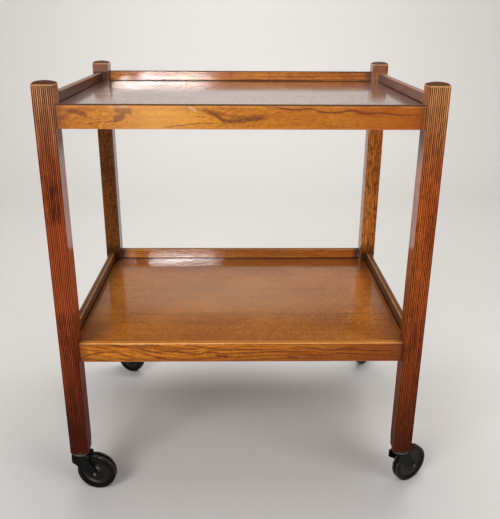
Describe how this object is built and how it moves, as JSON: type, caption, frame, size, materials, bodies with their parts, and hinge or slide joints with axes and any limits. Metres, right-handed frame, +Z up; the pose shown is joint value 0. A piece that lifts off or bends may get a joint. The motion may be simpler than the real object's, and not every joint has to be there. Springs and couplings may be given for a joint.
{
  "type": "tea trolley",
  "caption": "Low two-tier wooden tea trolley with galleried trays, reeded square legs and black swivel castors.",
  "frame": {"origin": "on the floor, midway between the four legs", "axes": "+Z up, +X towards the right-hand end seen from the front, front towards -Y"},
  "size_m": [0.6642, 0.5065, 0.736],
  "materials": {
    "leg_oak": "reddish brown oak under semi-gloss varnish, grain upright",
    "rail_oak": "golden brown oak under semi-gloss varnish, grain along the board",
    "panel_oak": "oak-faced panel under worn semi-gloss varnish",
    "bright_steel": "worn bright steel",
    "cup_steel": "dull plated steel",
    "fork_black": "satin black enamel, lightly worn",
    "wheel_black": "satin moulded black",
    "tyre_black": "smooth black rubber, lightly scuffed"
  },
  "bodies": {
    "trolley_frame": {"leg_front_left": "leg_oak", "leg_front_right": "leg_oak", "leg_rear_left": "leg_oak", "leg_rear_right": "leg_oak", "upper_front_rail": "rail_oak", "upper_back_rail": "rail_oak", "upper_left_rail": "rail_oak", "upper_right_rail": "rail_oak", "lower_front_rail": "rail_oak", "lower_back_rail": "rail_oak", "lower_left_rail": "rail_oak", "lower_right_rail": "rail_oak", "upper_tray_panel": "panel_oak", "lower_shelf_panel": "panel_oak", "castor_stem_front_left": "bright_steel", "castor_cup_front_left": "cup_steel", "castor_bearing_front_left": "bright_steel", "castor_stem_front_right": "bright_steel", "castor_cup_front_right": "cup_steel", "castor_bearing_front_right": "bright_steel", "castor_stem_rear_left": "bright_steel", "castor_cup_rear_left": "cup_steel", "castor_bearing_rear_left": "bright_steel", "castor_stem_rear_right": "bright_steel", "castor_cup_rear_right": "cup_steel", "castor_bearing_rear_right": "bright_steel"},
    "swivel_front_left": {"castor_fork_front_left": "fork_black", "castor_axle_front_left": "bright_steel"},
    "wheel_front_left": {"castor_wheel_front_left": "wheel_black", "castor_tyre_front_left": "tyre_black"},
    "swivel_front_right": {"castor_fork_front_right": "fork_black", "castor_axle_front_right": "bright_steel"},
    "wheel_front_right": {"castor_wheel_front_right": "wheel_black", "castor_tyre_front_right": "tyre_black"},
    "swivel_rear_left": {"castor_fork_rear_left": "fork_black", "castor_axle_rear_left": "bright_steel"},
    "wheel_rear_left": {"castor_wheel_rear_left": "wheel_black", "castor_tyre_rear_left": "tyre_black"},
    "swivel_rear_right": {"castor_fork_rear_right": "fork_black", "castor_axle_rear_right": "bright_steel"},
    "wheel_rear_right": {"castor_wheel_rear_right": "wheel_black", "castor_tyre_rear_right": "tyre_black"}
  },
  "joints": [
    {"name": "castor_swivel_front_left", "type": "hinge", "parent": "trolley_frame", "child": "swivel_front_left", "pos_m": [-0.294, -0.217, 0.0733], "axis": [0, 0, 1], "continuous": true},
    {"name": "wheel_spin_front_left", "type": "hinge", "parent": "swivel_front_left", "child": "wheel_front_left", "pos_m": [-0.2673, -0.22099, 0.036], "axis": [0.1478, 0.989, 0], "continuous": true},
    {"name": "castor_swivel_front_right", "type": "hinge", "parent": "trolley_frame", "child": "swivel_front_right", "pos_m": [0.294, -0.217, 0.0733], "axis": [0, 0, 1], "continuous": true},
    {"name": "wheel_spin_front_right", "type": "hinge", "parent": "swivel_front_right", "child": "wheel_front_right", "pos_m": [0.31697, -0.20281, 0.036], "axis": [-0.5255, 0.8508, 0], "continuous": true},
    {"name": "castor_swivel_rear_left", "type": "hinge", "parent": "trolley_frame", "child": "swivel_rear_left", "pos_m": [-0.294, 0.217, 0.0733], "axis": [0, 0, 1], "continuous": true},
    {"name": "wheel_spin_rear_left", "type": "hinge", "parent": "swivel_rear_left", "child": "wheel_rear_left", "pos_m": [-0.27062, 0.2035, 0.036], "axis": [0.5, 0.866, 0], "continuous": true},
    {"name": "castor_swivel_rear_right", "type": "hinge", "parent": "trolley_frame", "child": "swivel_rear_right", "pos_m": [0.294, 0.217, 0.0733], "axis": [0, 0, 1], "continuous": true},
    {"name": "wheel_spin_rear_right", "type": "hinge", "parent": "swivel_rear_right", "child": "wheel_rear_right", "pos_m": [0.31062, 0.23828, 0.036], "axis": [-0.788, 0.6157, 0], "continuous": true}
  ]
}
